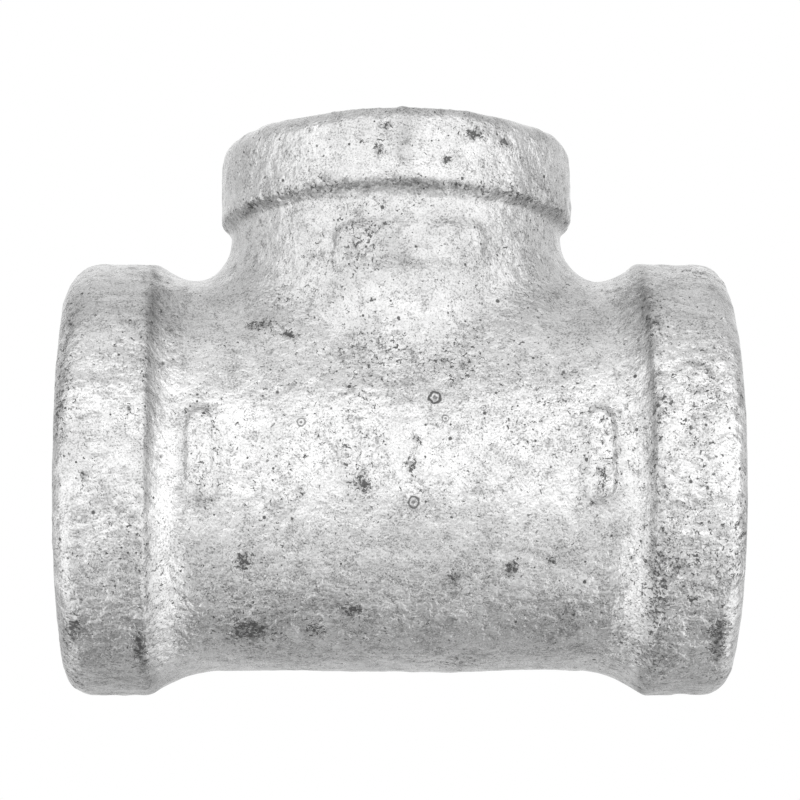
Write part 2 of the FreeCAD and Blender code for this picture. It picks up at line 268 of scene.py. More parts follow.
def surface_net(field, low, high, step):
    """Quads of the field's zero surface, with one point in each crossed cell."""
    axes, values = field_grid(field, low, high, step)
    inside = values < 0
    shape = np.array(values.shape) - 1
    count = np.zeros(shape, np.int8)
    for i, j, k in CORNERS:
        count += inside[i : i + shape[0], j : j + shape[1], k : k + shape[2]]
    cells = np.argwhere((count > 0) & (count < 8))
    index = np.full(shape, -1, np.int32)
    index[tuple(cells.T)] = np.arange(len(cells))
    corner_values = np.array([values[tuple((cells + c).T)] for c in CORNERS])
    total = np.zeros((len(cells), 3))
    crossings = np.zeros(len(cells))
    for a, b in CELL_EDGES:
        va, vb = corner_values[a], corner_values[b]
        crossed = (va < 0) != (vb < 0)
        share = np.where(crossed, va / np.where(crossed, va - vb, 1.0), 0.0)[:, None]
        place = np.array(CORNERS[a]) + share * (np.array(CORNERS[b]) - np.array(CORNERS[a]))
        total += np.where(crossed[:, None], place, 0.0)
        crossings += crossed
    origin = np.array([a[0] for a in axes])
    points = origin + step * (cells + total / crossings[:, None])
    quads = []
    for axis in range(3):
        u, v = (axis + 1) % 3, (axis + 2) % 3
        first = np.moveaxis(inside, axis, 0)[:-1]
        second = np.moveaxis(inside, axis, 0)[1:]
        for leaving, hit in ((True, first & ~second), (False, ~first & second)):
            edges = np.argwhere(np.moveaxis(hit, 0, axis))
            within = (edges[:, u] > 0) & (edges[:, v] > 0)
            within &= (edges[:, u] < shape[u]) & (edges[:, v] < shape[v])
            edges = edges[within]
            ring = [(0, 0), (-1, 0), (-1, -1), (0, -1)]
            if not leaving:
                ring = ring[::-1]
            around = []
            for du, dv in ring:
                cell = edges.copy()
                cell[:, u] += du
                cell[:, v] += dv
                around.append(index[tuple(cell.T)])
            quads.append(np.array(around).T)
    return points.T, np.concatenate(quads)


def settle(field, points, rounds=3):
    """Move points along the field's slope until they lie on its zero surface."""
    for _ in range(rounds):
        slope = gradient(field, points)
        steep = np.maximum((slope**2).sum(0), 0.25)
        points = points - slope * (field(points) / steep)
    return points


def relax(field, points, quads, rounds):
    """Even out the quads: each point goes a share of the way to the middle of its neighbours."""
    share = 0.6
    size = points.shape[1]
    pairs = np.concatenate([quads[:, [i, (i + 1) % 4]] for i in range(4)])
    for _ in range(rounds):
        total = np.zeros((3, size))
        number = np.bincount(pairs[:, 0], minlength=size) + np.bincount(pairs[:, 1], minlength=size)
        for axis in range(3):
            total[axis] = np.bincount(pairs[:, 0], points[axis][pairs[:, 1]], size)
            total[axis] += np.bincount(pairs[:, 1], points[axis][pairs[:, 0]], size)
        normal = gradient(field, points)
        normal /= np.maximum(np.linalg.norm(normal, axis=0), 1e-6)
        move = total / np.maximum(number, 1) - points
        points = points + share * (move - normal * (move * normal).sum(0))
    return settle(field, points, 2)


def mesh_normals(points, quads):
    """Unit normals of the points, averaged over the quads around them."""
    corners = points[:, quads]
    across = np.cross(corners[:, :, 2] - corners[:, :, 0], corners[:, :, 3] - corners[:, :, 1], axis=0)
    normals = np.zeros_like(points)
    for axis in range(3):
        for corner in range(4):
            normals[axis] += np.bincount(quads[:, corner], across[axis], points.shape[1])
    return normals / np.maximum(np.linalg.norm(normals, axis=0), 1e-9)


# ------------------------------------------------------- relief of the cast skin
def facing_front(y):
    """1 on the front half of the casting, fading to 0 towards its sides."""
    return rise(-y, 4.0, 9.0)


def well_in_front(y):
    """1 on the middle of the front only."""
    return rise(-y, 9.0, 15.0)


def spot_reach(x, z, spot):
    """Distance from a spot's middle in parts of its half width and half height."""
    middle_x, middle_z, half_x, half_z = spot
    return np.hypot((x - middle_x) / half_x, (z - middle_z) / half_z)


def lumps(points, size, seed):
    """Smooth noise from -1 to 1 whose lumps are about that size."""
    length = 4096
    spread = np.array([[73856093], [19349663], [83492791]])
    random = np.random.default_rng(seed)
    table = random.uniform(-1.0, 1.0, length)
    spot = points / size + random.uniform(50.0, 90.0, (3, 1))
    cell = np.floor(spot).astype(np.int64)
    part = spot - cell
    ease = part * part * (3.0 - 2.0 * part)
    total = np.zeros(points.shape[1])
    for corner in CORNERS:
        step = np.array(corner)[:, None]
        weight = np.where(step == 1, ease, 1.0 - ease).prod(0)
        key = ((cell + step) * spread).sum(0) % length
        total += weight * table[key]
    return total


# Blow marks on the front of the barrel: x, z, radius.
BUBBLES = [(3.5, 5.8, 0.60), (4.5, 3.6, 0.36), (8.4, 4.7, 0.26), (1.3, -4.9, 0.54), (-10.0, 3.2, 0.40)]
# Dark pinholes on the front: x, z, radius.
PINHOLES = [(-24.0, 9.4, 0.28), (-24.0, -0.4, 0.2), (16.6, 8.6, 0.22), (-12.4, 6.4, 0.2), (24.7, -0.9, 0.3)]
# Worn, shapeless remains of relief on the bands' fronts: x, z, half width, half height.
WORN_PATCHES = [
    (-30.9, 2.6, 1.3, 1.1),
    (-30.2, 0.1, 1.5, 0.9),
    (-31.4, -1.6, 0.9, 0.8),
    (29.4, 7.9, 1.6, 1.2),
    (30.6, 5.2, 1.0, 0.9),
    (30.0, 1.9, 1.3, 1.4),
    (30.9, -1.2, 1.1, 0.9),
    (29.9, -4.4, 1.2, 1.1),
]
# Low worn mounds on the neck pad: x, z, half width, half height.
PAD_MOUNDS = [(-4.6, 22.4, 1.7, 1.6), (0.4, 21.9, 0.8, 1.7), (4.6, 22.2, 2.0, 1.8)]
# Clots of dross on the front: x, z, half width, half height.
CLOTS = [
    (1.7, 1.5, 0.9, 0.7),
    (1.0, -1.3, 0.6, 1.3),
    (2.2, -3.8, 0.5, 0.4),
    (-3.9, -3.1, 1.0, 0.8),
    (-15.9, -10.5, 0.9, 1.1),
    (-4.7, -15.2, 1.3, 0.7),
    (-8.8, -16.9, 1.2, 0.6),
    (-15.4, -17.0, 2.0, 0.8),
    (5.3, -12.1, 0.9, 0.5),
    (11.2, -11.2, 0.7, 0.8),
    (15.3, -10.5, 0.6, 0.6),
    (17.8, -15.6, 0.4, 0.4),
    (27.8, -11.5, 0.6, 0.45),
    (29.4, -14.5, 0.5, 0.4),
    (32.4, -18.0, 1.1, 2.6),
    (-26.4, -19.0, 0.9, 2.2),
    (-33.0, -17.2, 0.8, 1.2),
    (-27.3, 4.2, 0.8, 0.7),
    (-31.6, -2.6, 0.4, 0.8),
    (-2.0, 31.7, 0.8, 1.0),
    (-1.2, 34.2, 0.8, 0.5),
    (-4.0, 32.6, 0.5, 0.4),
    (7.6, 33.5, 1.5, 0.6),
    (11.0, 33.2, 1.1, 0.6),
    (-15.2, 27.6, 0.5, 0.5),
    (4.8, 30.6, 0.4, 0.8),
    (-14.2, 14.0, 1.8, 0.7),
    (-11.2, 12.8, 1.2, 0.5),
]


def bands_and_creases(points):
    """How near each point is to a band's inner edge and to the crease round the neck's foot."""
    x, y, z = points
    along = np.abs(x)
    run_edge = bell(along, RUN_BAND_START - 0.2, 0.9)
    top_edge = bell(z, top_band_start(y) - 0.2, 0.8) * (np.hypot(x, y) < SEAM_REACH)
    both = run_outside(x, y, z) ** 2 + branch_outside(x, y, z) ** 2
    crotch = np.exp(-both / (2 * 1.6**2))
    return run_edge, top_edge, crotch


def on_bands(x, z):
    """1 on the three bands, 0 elsewhere."""
    run = rise(np.abs(x), RUN_BAND_START - 1.0, RUN_BAND_START)
    return np.maximum(run, rise(z, TOP_BAND_START - 1.0, TOP_BAND_START))


# Heights of the cast skin's relief.
BROAD_LUMP_HEIGHT = 0.13
MIDDLE_LUMP_HEIGHT = 0.07
PEEL_HEIGHT = 0.055
FINE_PEEL_HEIGHT = 0.040
EXTRA_BAND_PEEL = 0.9
INNER_EDGE_HEIGHT = 0.11
OUTER_EDGE_HEIGHT = 0.06
WORN_PATCH_HEIGHT = 0.20
MOUND_HEIGHT = 0.26
BUBBLE_RIM_HEIGHT = 0.13
BUBBLE_PIT_DEPTH = 0.10
PINHOLE_DEPTH = 0.22
PARTING_LINE_HEIGHT = 0.12


def relief(points):
    """Height that the sand mould and the zinc bath add to the smooth form."""
    x, y, z = points
    front = facing_front(y)
    run_edge, top_edge, _ = bands_and_creases(points)
    height = BROAD_LUMP_HEIGHT * lumps(points, 9.0, 1) + MIDDLE_LUMP_HEIGHT * lumps(points, 4.2, 2)
    peel = PEEL_HEIGHT * lumps(points, 1.9, 3) + FINE_PEEL_HEIGHT * lumps(points, 1.05, 4)
    height += peel * (1.0 + EXTRA_BAND_PEEL * on_bands(x, z))
    height += (run_edge + top_edge) * INNER_EDGE_HEIGHT * lumps(points, 2.4, 5)
    height += bell(np.abs(x), RUN_FACE - 1.0, 1.2) * OUTER_EDGE_HEIGHT * lumps(points, 2.8, 6)

    for patch in WORN_PATCHES:
        reach = spot_reach(x, z, patch) ** 2 + 0.35 * lumps(points, 1.3, 7)
        worn = rise(-reach, -1.5, -0.35) * (1.0 + 0.5 * lumps(points, 0.9, 8))
        height += front * WORN_PATCH_HEIGHT * worn
    for mound in PAD_MOUNDS:
        reach = spot_reach(x, z, mound) ** 2 + 0.3 * lumps(points, 1.4, 9)
        height += front * MOUND_HEIGHT * rise(-reach, -2.0, -0.2)
    height += front * PAD_RELIEF * rise(-pad_outline(x, z), -0.6, 0.9)

    for middle_x, middle_z, radius in BUBBLES:
        away = np.hypot(x - middle_x, z - middle_z)
        height += front * BUBBLE_RIM_HEIGHT * bell(away, radius, 0.22)
        height -= front * BUBBLE_PIT_DEPTH * bell(away, 0.0, 0.3)
    for middle_x, middle_z, radius in PINHOLES:
        away = np.hypot(x - middle_x, z - middle_z)
        height -= front * PINHOLE_DEPTH * bell(away, 0.0, radius * 1.3)

    parting_line = bell(x, 0.3 + 0.25 * lumps(points, 3.0, 10), 0.55)
    parting_line *= rise(z, TOP_BAND_START - 1.5, TOP_BAND_START + 1.0)
    height += front * PARTING_LINE_HEIGHT * parting_line * (1.0 + lumps(points, 1.2, 11))

    # The end faces were trimmed, so they are calmer, and flat where the threaded wall meets them.
    run_end = rise(np.hypot(y, z), RUN_SLEEVE_RADIUS, RUN_SLEEVE_RADIUS + 1.8)
    top_end = rise(np.hypot(x, y), TOP_SLEEVE_RADIUS, TOP_SLEEVE_RADIUS + 1.8)
    calm = np.where(z > TOP_FACE - 0.1, END_FACE_SHARE * top_end, 1.0)
    calm = np.where(np.abs(x) > RUN_FACE - 0.1, END_FACE_SHARE * run_end, calm)
    return height * calm


def dross(points):
    """How thickly dark specks of dross lie in the zinc, from 0 to 1.5."""
    x, y, z = points
    front = facing_front(y)
    run_edge, top_edge, crotch = bands_and_creases(points)

    # Everywhere in drifts, and more on the underside.
    amount = 0.21 + 0.22 * lumps(points, 11.0, 21) + 0.22 * lumps(points, 5.0, 22)
    amount += 0.22 * rise(-z, 2.0, 14.0) * (1.0 + 0.6 * lumps(points, 4.5, 28))

    # The run's outer edges, most of all high on the left one.
    outer_edge = bell(np.abs(x), RUN_FACE - 0.7, 1.3)
    amount += outer_edge * (0.15 + 0.40 * lumps(points, 6.0, 23))
    amount += outer_edge * np.where(x < 0, 0.5, 0.0) * bell(z, 9.0, 8.0) * front

    # The bands' inner edges, most of all high on the right one, and the crease at the neck's foot.
    amount += 0.25 * bell(x, RUN_BAND_START + 0.2, 0.9) * bell(z, 10.0, 9.0) * front
    amount += run_edge * (0.20 + 0.3 * lumps(points, 4.0, 24))
    amount += top_edge * (0.45 + 0.3 * lumps(points, 4.0, 25))
    amount += crotch * front * (0.10 + 0.5 * lumps(points, 4.0, 26))

    # The neck's front and the parting line on the branch band.
    amount += 0.14 * bell(z, 19.0, 6.0) * front * (1.0 + lumps(points, 3.0, 30))
    amount += 0.20 * bell(x, 0.3, 1.1) * rise(z, TOP_BAND_START, TOP_BAND_START + 2.0) * front

    # The marks: round each boss and along its middle, and on the worn patches and mounds.
    for side in (-1, 1):
        to_edge = oblong(x, z, side * BOSS_OFFSET)
        amount += 0.20 * bell(to_edge, 0.2, 0.6) * front
        along_middle = bell(to_edge, -BOSS_HALF_WIDTH, 0.6)
        amount += 0.45 * along_middle * front * (0.7 + lumps(points, 1.6, 29))
    for patch in WORN_PATCHES:
        amount += 0.18 * bell(spot_reach(x, z, patch), 1.1, 0.35) * front
    for mound in PAD_MOUNDS:
        amount += 0.30 * bell(spot_reach(x, z, mound), 0.4, 0.8) * front * lumps(points, 1.5, 27)

    for clot in CLOTS:
        amount += 1.3 * bell(spot_reach(x, z, clot), 0.0, 0.85) * front
    return np.clip(amount, 0.0, 1.5)


def shade_and_smudge(points):
    """How much the skin is darkened, from 0 to 1: painted shade in its creases, low down, on the neck's
    front and round the marks, and one smudge up the branch band.
    """
    x, y, z = points
    front = facing_front(y)
    _, _, crotch = bands_and_creases(points)

    # Painted shade in the creases: under the branch band, behind the run bands and round the neck's foot.
    amount = 0.30 * bell(z, top_band_start(y) - 0.6, 0.7) * (np.hypot(x, y) < SEAM_REACH)
    amount += 0.30 * bell(np.abs(x), RUN_BAND_START - 0.5, 0.7)
    amount += 0.15 * crotch

    # A smudge up the branch band, then painted shade: a darker stripe low on the run, and its lowest part
    # darkened where it nears the table.
    smudge = bell(x, 0.6, 0.8) * rise(z, TOP_BAND_START + 1.5, TOP_BAND_START + 3.0)
    amount += 0.22 * smudge * front
    amount += 0.08 * bell(z, -17.2, 3.8) + 0.22 * rise(-z, 19.5, 22.5)

    # Painted shade on the neck's front, on its pad and round the bosses, and two darker places on the left
    # band.
    amount += 0.13 * rise(z, 11.0, 15.0) * well_in_front(y)
    amount += 0.15 * bell(z, PAD_CENTRE[1], 3.6) * bell(x, 0.0, 9.0) * well_in_front(y)
    left_band = rise(-x, RUN_BAND_START, RUN_BAND_START + 1.5)
    amount += (0.14 * bell(z, -1.4, 3.4) + 0.13 * bell(z, -16.3, 3.4)) * left_band * front
    for side in (-1, 1):
        amount += 0.14 * bell(oblong(x, z, side * BOSS_OFFSET), 0.35, 0.55) * well_in_front(y)
    return np.clip(amount, 0.0, 1.0)


def coarseness(points):
    """How coarse the zinc's orange-peel texture is, from 0 to 1; the trimmed ends are smooth."""
    x, y, z = points
    off_ends = rise(RUN_FACE - np.abs(x), 0.2, 1.2) * rise(TOP_FACE - z, 0.2, 1.2)
    return np.maximum(on_bands(x, z), 0.6 * rise(-z, 9.0, 17.0)) * off_ends


# ------------------------------------------------------ cutting the skin into pieces
# A skin is a table with one column per point. Its rows are the place, the normal, the
# dross, the painted shade with its one smudge, and the coarseness. A face is a row of four points,
# with -1 for the fourth in a triangle, and then the number of the piece that it belongs to.
# Points this near a cut count as on it.
SNAP = 0.05
# Number of the piece whose faces are thrown away.
DROPPED = -1


def corner_points(faces):
    """The four points of each face; a triangle repeats its third."""
    return np.where(faces[:, :4] < 0, faces[:, [2]], faces[:, :4])


def cut(skin, faces, value, number):
    """Cut faces where the value per point changes sign; the negative side gets the number."""
    value = np.where(np.abs(value) < SNAP, 0.0, value)
    corner = value[corner_points(faces)]
    crossing = (corner.min(1) < 0) & (corner.max(1) > 0)
    made = {}
    added = []
    pieces = []

    def on_line(a, b):
        key = (min(a, b), max(a, b))
        if key not in made:
            share = value[a] / (value[a] - value[b])
            made[key] = skin.shape[1] + len(added)
            added.append(skin[:, a] + share * (skin[:, b] - skin[:, a]))
        return made[key]

    for a, b, c, d, old in faces[crossing].tolist():
        for triangle in [(a, b, c)] + ([(a, c, d)] if d >= 0 else []):
            sides = {old: [], number: []}
            signs = {old: 1, number: -1}
            whole = [value[p] for p in triangle]
            for here, after in zip(triangle, triangle[1:] + triangle[:1]):
                for key, side in sides.items():
                    if value[here] * signs[key] >= 0:
                        side.append(here)
                if value[here] * value[after] < 0:
                    for side in sides.values():
                        side.append(on_line(here, after))
            for key, side in sides.items():
                if max(v * signs[key] for v in whole) > 0:
                    pieces.append((side + [-1])[:4] + [key])
    kept = faces[~crossing]
    kept[corner[~crossing].min(1) < 0, 4] = number
    if added:
        skin = np.concatenate([skin, np.array(added).T], 1)
        kept = np.concatenate([kept, np.array(pieces)])
    return skin, kept[kept[:, 4] != DROPPED]


def open_loops(faces):
    """Closed chains of the edges that only one face uses, in that face's direction."""
    starts, ends = [], []
    for i in range(4):
        start = faces[:, i]
        end = faces[:, (i + 1) % 4]
        end = np.where(end < 0, faces[:, 0], end)
        starts.append(start[start >= 0])
        ends.append(end[start >= 0])
    starts, ends = np.concatenate(starts), np.concatenate(ends)
    size = max(starts.max(), ends.max()) + 1
    lonely = ~np.isin(starts * size + ends, ends * size + starts)
    following = dict(zip(starts[lonely].tolist(), ends[lonely].tolist()))
    loops = []
    while following:
        first, here = following.popitem()
        loop = [first]
        while here != first:
            loop.append(here)
            here = following.pop(here)
        loops.append(loop)
    return loops


def turned(skin, loop, axis):
    """The loop with rising angle about the axis, its angles, and whether it was turned round."""
    u, v = skin[(axis + 1) % 3, loop], skin[(axis + 2) % 3, loop]
    angle = np.arctan2(v, u)
    change = np.diff(np.append(angle, angle[0]))
    change = (change + math.pi) % (2 * math.pi) - math.pi
    flipped = change.sum() < 0
    order = np.arange(len(loop))[::-1] if flipped else np.arange(len(loop))
    order = np.roll(order, -int(np.argmin(angle[order])))
    return np.array(loop)[order], angle[order], flipped


def bridge(skin, first, second, axis):
    """Ring of triangles that closes the gap between two loops round one axis."""
    a, angle_a, flipped = turned(skin, first, axis)
    b, angle_b, _ = turned(skin, second, axis)
    angle_a = np.append(angle_a, angle_a[0] + 2 * math.pi)
    angle_b = np.append(angle_b, angle_b[0] + 2 * math.pi)
    i = j = 0
    ring = []
    while i < len(a) or j < len(b):
        here_a, here_b = a[i % len(a)], b[j % len(b)]
        if j == len(b) or (i < len(a) and angle_a[i + 1] <= angle_b[j + 1]):
            i += 1
            ring.append((a[i % len(a)], here_a, here_b, -1, 0))
        else:
            j += 1
            ring.append((here_b, b[j % len(b)], here_a, -1, 0))
    ring = np.array(ring)
    if flipped:
        ring[:, :3] = ring[:, 2::-1]
    return ring


def fan(loop, centre):
    """Triangles from a centre point that close one loop."""
    return np.array([(after, here, centre, -1, 0) for here, after in zip(loop, loop[1:] + loop[:1])])


# ------------------------------------------------------------------ the two skins
# Room round the field's grid, and the height of the lumps that the core leaves inside.
MARGIN = 1.0
CORE_ROUGHNESS = 0.12


def smooth_surface(field, radius, step, rounds):
    """Even quads on the zero surface of a field that reaches that far from the run's axis."""
    low = (-RUN_FACE - MARGIN, -radius - MARGIN, -radius - MARGIN)
    high = (RUN_FACE + MARGIN, radius + MARGIN, TOP_FACE + MARGIN)
    points, quads = surface_net(field, low, high, step)
    return relax(field, settle(field, points), quads, rounds), quads


points, outer_faces = smooth_surface(outside, RUN_BAND_RADIUS, FINE, 4)
points = points + mesh_normals(points, outer_faces) * relief(points)
# The second layer is painted shade in the creases and low places, with one real smudge.
layers = [dross(points), shade_and_smudge(points), coarseness(points)]
outer = np.concatenate([points, mesh_normals(points, outer_faces), layers])

points, quads = smooth_surface(hollow, RUN_SLEEVE_RADIUS, COARSE, 2)
cored = rise(RUN_SLEEVE_START - np.abs(points[0]), 0.5, 2.0)
cored *= rise(TOP_SLEEVE_START - points[2], 0.5, 2.0)
points = points + mesh_normals(points, quads) * cored * CORE_ROUGHNESS * lumps(points, 2.6, 31)
inner_faces = quads[:, ::-1]
clean = np.zeros(points.shape[1])
layers = [dross(points), clean, clean]
inner = np.concatenate([points, mesh_normals(points, inner_faces), layers])


def neck_region(skin):
    """Negative where the metal belongs to the branch."""
    x, y, z = skin[:3]
    return np.maximum(np.maximum(SEAM_RADIUS - np.hypot(y, z), np.hypot(x, y) - SEAM_REACH), -z)


def boss_region(skin, side):
    """Negative on the front inside one barrel boss's outline."""
    x, y, z = skin[:3]
    return np.maximum(oblong(x, z, side * BOSS_OFFSET), y)


def pad_region(skin):
    """Negative on the front inside the neck pad's outline."""
    x, y, z = skin[:3]
    return np.maximum(pad_outline(x, z), y)


def run_mouth(skin):
    """Negative on the disc that a run face's mouth takes out."""
    x, y, z = skin[:3]
    return np.maximum(np.hypot(y, z) - RUN_MOUTH_RADIUS, RUN_FACE - 1.0 - np.abs(x))


def top_mouth(skin):
    """Negative on the disc that the branch face's mouth takes out."""
    x, y, z = skin[:3]
    return np.maximum(np.hypot(x, y) - TOP_MOUTH_RADIUS, TOP_FACE - 1.0 - z)


PIECES = [
    ("barrel_casting", "run_barrel"),
    ("neck_casting", "branch_neck"),
    ("branch_band_casting", "branch_end_band"),
    ("left_band_casting", "left_end_band"),
    ("right_band_casting", "right_end_band"),
    ("left_boss_casting", "left_barrel_boss"),
    ("right_boss_casting", "right_barrel_boss"),
    ("neck_pad_casting", "neck_pad"),
]
BARREL, NECK, TOP_BAND, LEFT_BAND, RIGHT_BAND, LEFT_BOSS, RIGHT_BOSS, PAD = range(len(PIECES))
SEAMS = [
    (neck_region, NECK),
    (lambda skin: TOP_BAND_START - skin[2], TOP_BAND),
    (lambda skin: RUN_BAND_START + skin[0], LEFT_BAND),
    (lambda skin: RUN_BAND_START - skin[0], RIGHT_BAND),
]
OUTER_SEAMS = [
    (run_mouth, DROPPED),
    (top_mouth, DROPPED),
    (lambda skin: boss_region(skin, -1), LEFT_BOSS),
    (lambda skin: boss_region(skin, 1), RIGHT_BOSS),
    (pad_region, PAD),
]
INNER_SEAMS = [
    (lambda skin: RUN_FACE + FACE_COVER - np.abs(skin[0]), DROPPED),
    (lambda skin: TOP_FACE + FACE_COVER - skin[2], DROPPED),
]
outer_faces = np.insert(outer_faces, 4, BARREL, axis=1)
inner_faces = np.insert(inner_faces, 4, BARREL, axis=1)
for field, number in SEAMS + OUTER_SEAMS:
    outer, outer_faces = cut(outer, outer_faces, field(outer), number)
for field, number in SEAMS + INNER_SEAMS:
    inner, inner_faces = cut(inner, inner_faces, field(inner), number)

# The inner skin's points follow the outer skin's in one table.
skin = np.concatenate([outer, inner], 1)
inner_faces[:, :4] += np.where(inner_faces[:, :4] < 0, 0, outer.shape[1])


def station(loop):
    """Which opening a loop goes round: an end, a seam or a mark, with its axis."""
    x, y, z = skin[:3, loop].mean(1)
    if y < -RUN_MOUTH_RADIUS + 2.0:
        return "mark", 1
    if abs(x) > RUN_BAND_START - 1.0:
        side = " left" if x < 0 else " right"
        return ("run end" if abs(x) > RUN_FACE - 1.0 else "run seam") + side, 0
    if z > TOP_FACE - 1.0:
        return "branch end", 2
    return ("branch seam" if z > TOP_BAND_START - 1.0 else "saddle"), 2


# Depth of the hidden point that closes a mark's underside.
MARK_DEPTH = 0.9
hub_numbers = {}
hub_points = []


def mark_hub(loop):
    """Number of the point inside the metal that a mark's underside and its bed come down to."""
    key = min(loop)
    if key not in hub_numbers:
        hub = skin[:, loop].mean(1)
        hub[1] += MARK_DEPTH
        hub_numbers[key] = skin.shape[1] + len(hub_points)
        hub_points.append(hub)
    return hub_numbers[key]


def closing_faces(faces, inside_faces):
    """Hidden faces that join a piece's outer skin to its inner skin, or close a mark."""
    inner_loops = {}
    if len(inside_faces):
        for loop in open_loops(inside_faces):
            inner_loops[station(loop)[0]] = loop
    closing = []
    for loop in open_loops(faces):
        place, axis = station(loop)
        if place == "mark":
            closing.append(fan(loop, mark_hub(loop)))
        else:
            closing.append(bridge(skin, loop, inner_loops[place], axis))
    return np.concatenate(closing)


def piece_mesh(name, shown_faces, closing):
    """Closed mesh of one piece, whose shown faces keep the whole skin's normals."""
    faces = np.concatenate([shown_faces, closing])[:, :4]
    used, renumbered = np.unique(faces[faces >= 0], return_inverse=True)
    faces[faces >= 0] = renumbered
    corners = [face[:3] if face[3] < 0 else face for face in faces.tolist()]
    mesh = bpy.data.meshes.new(name)
    mesh.from_pydata((skin[:3, used].T * MM).tolist(), [], corners)
    mesh.shade_smooth()
    corner_numbers = np.empty(len(mesh.loops), np.int32)
    mesh.loops.foreach_get("vertex_index", corner_numbers)
    shown = sum(len(face) for face in corners[: len(shown_faces)])
    normals = np.zeros((len(mesh.loops), 3))
    normals[:shown] = skin[3:6, used].T[corner_numbers[:shown]]
    mesh.normals_split_custom_set(normals.tolist())
    for row, label in ((6, "dross"), (7, "shade_and_smudge"), (8, "coarseness")):
        layer = mesh.attributes.new(label, "FLOAT", "POINT")
        layer.data.foreach_set("value", skin[row, used].astype(np.float32))
    return mesh


shells = []
for number in range(len(PIECES)):
    outside_faces = outer_faces[outer_faces[:, 4] == number]
    inside_faces = inner_faces[inner_faces[:, 4] == number]
    closing = closing_faces(outside_faces, inside_faces)
    shells.append((np.concatenate([outside_faces, inside_faces]), closing))
skin = np.concatenate([skin, np.array(hub_points).T], 1)

castings = []
for (name, node), (shown_faces, closing) in zip(PIECES, shells):
    piece = bpy.data.objects.new(name, piece_mesh(name, shown_faces, closing))
    bpy.context.scene.collection.objects.link(piece)
    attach(piece, "root")
    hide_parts(node)
    castings.append(piece)


# ------------------------------------------------------------------------ camera
# The tee's branch leans away by the tilt, and the picture is that wide at the tee.
TILT = math.radians(8.8)
YAW = math.radians(1.24)
VIEW_DISTANCE = 351.5
AIM_ABOVE = 8.44
AIM_RIGHT = 0.37
VIEW_WIDTH = 85.1245
SENSOR_WIDTH = 36.0

right = Vector((math.cos(YAW), -math.cos(TILT) * math.sin(YAW), -math.sin(TILT) * math.sin(YAW)))
upwards = Vector((0.0, -math.sin(TILT), math.cos(TILT)))
towards = right.cross(upwards)
camera_data = bpy.data.cameras.new("camera")
camera_data.sensor_width = SENSOR_WIDTH
camera_data.lens = SENSOR_WIDTH * VIEW_DISTANCE / VIEW_WIDTH
camera = bpy.data.objects.new("camera", camera_data)
stand = (towards * VIEW_DISTANCE + upwards * AIM_ABOVE + right * AIM_RIGHT) * MM
turn = Matrix((right, upwards, towards)).transposed().to_4x4()
camera.matrix_world = Matrix.Translation(stand) @ turn
bpy.context.scene.collection.objects.link(camera)
bpy.context.scene.camera = camera


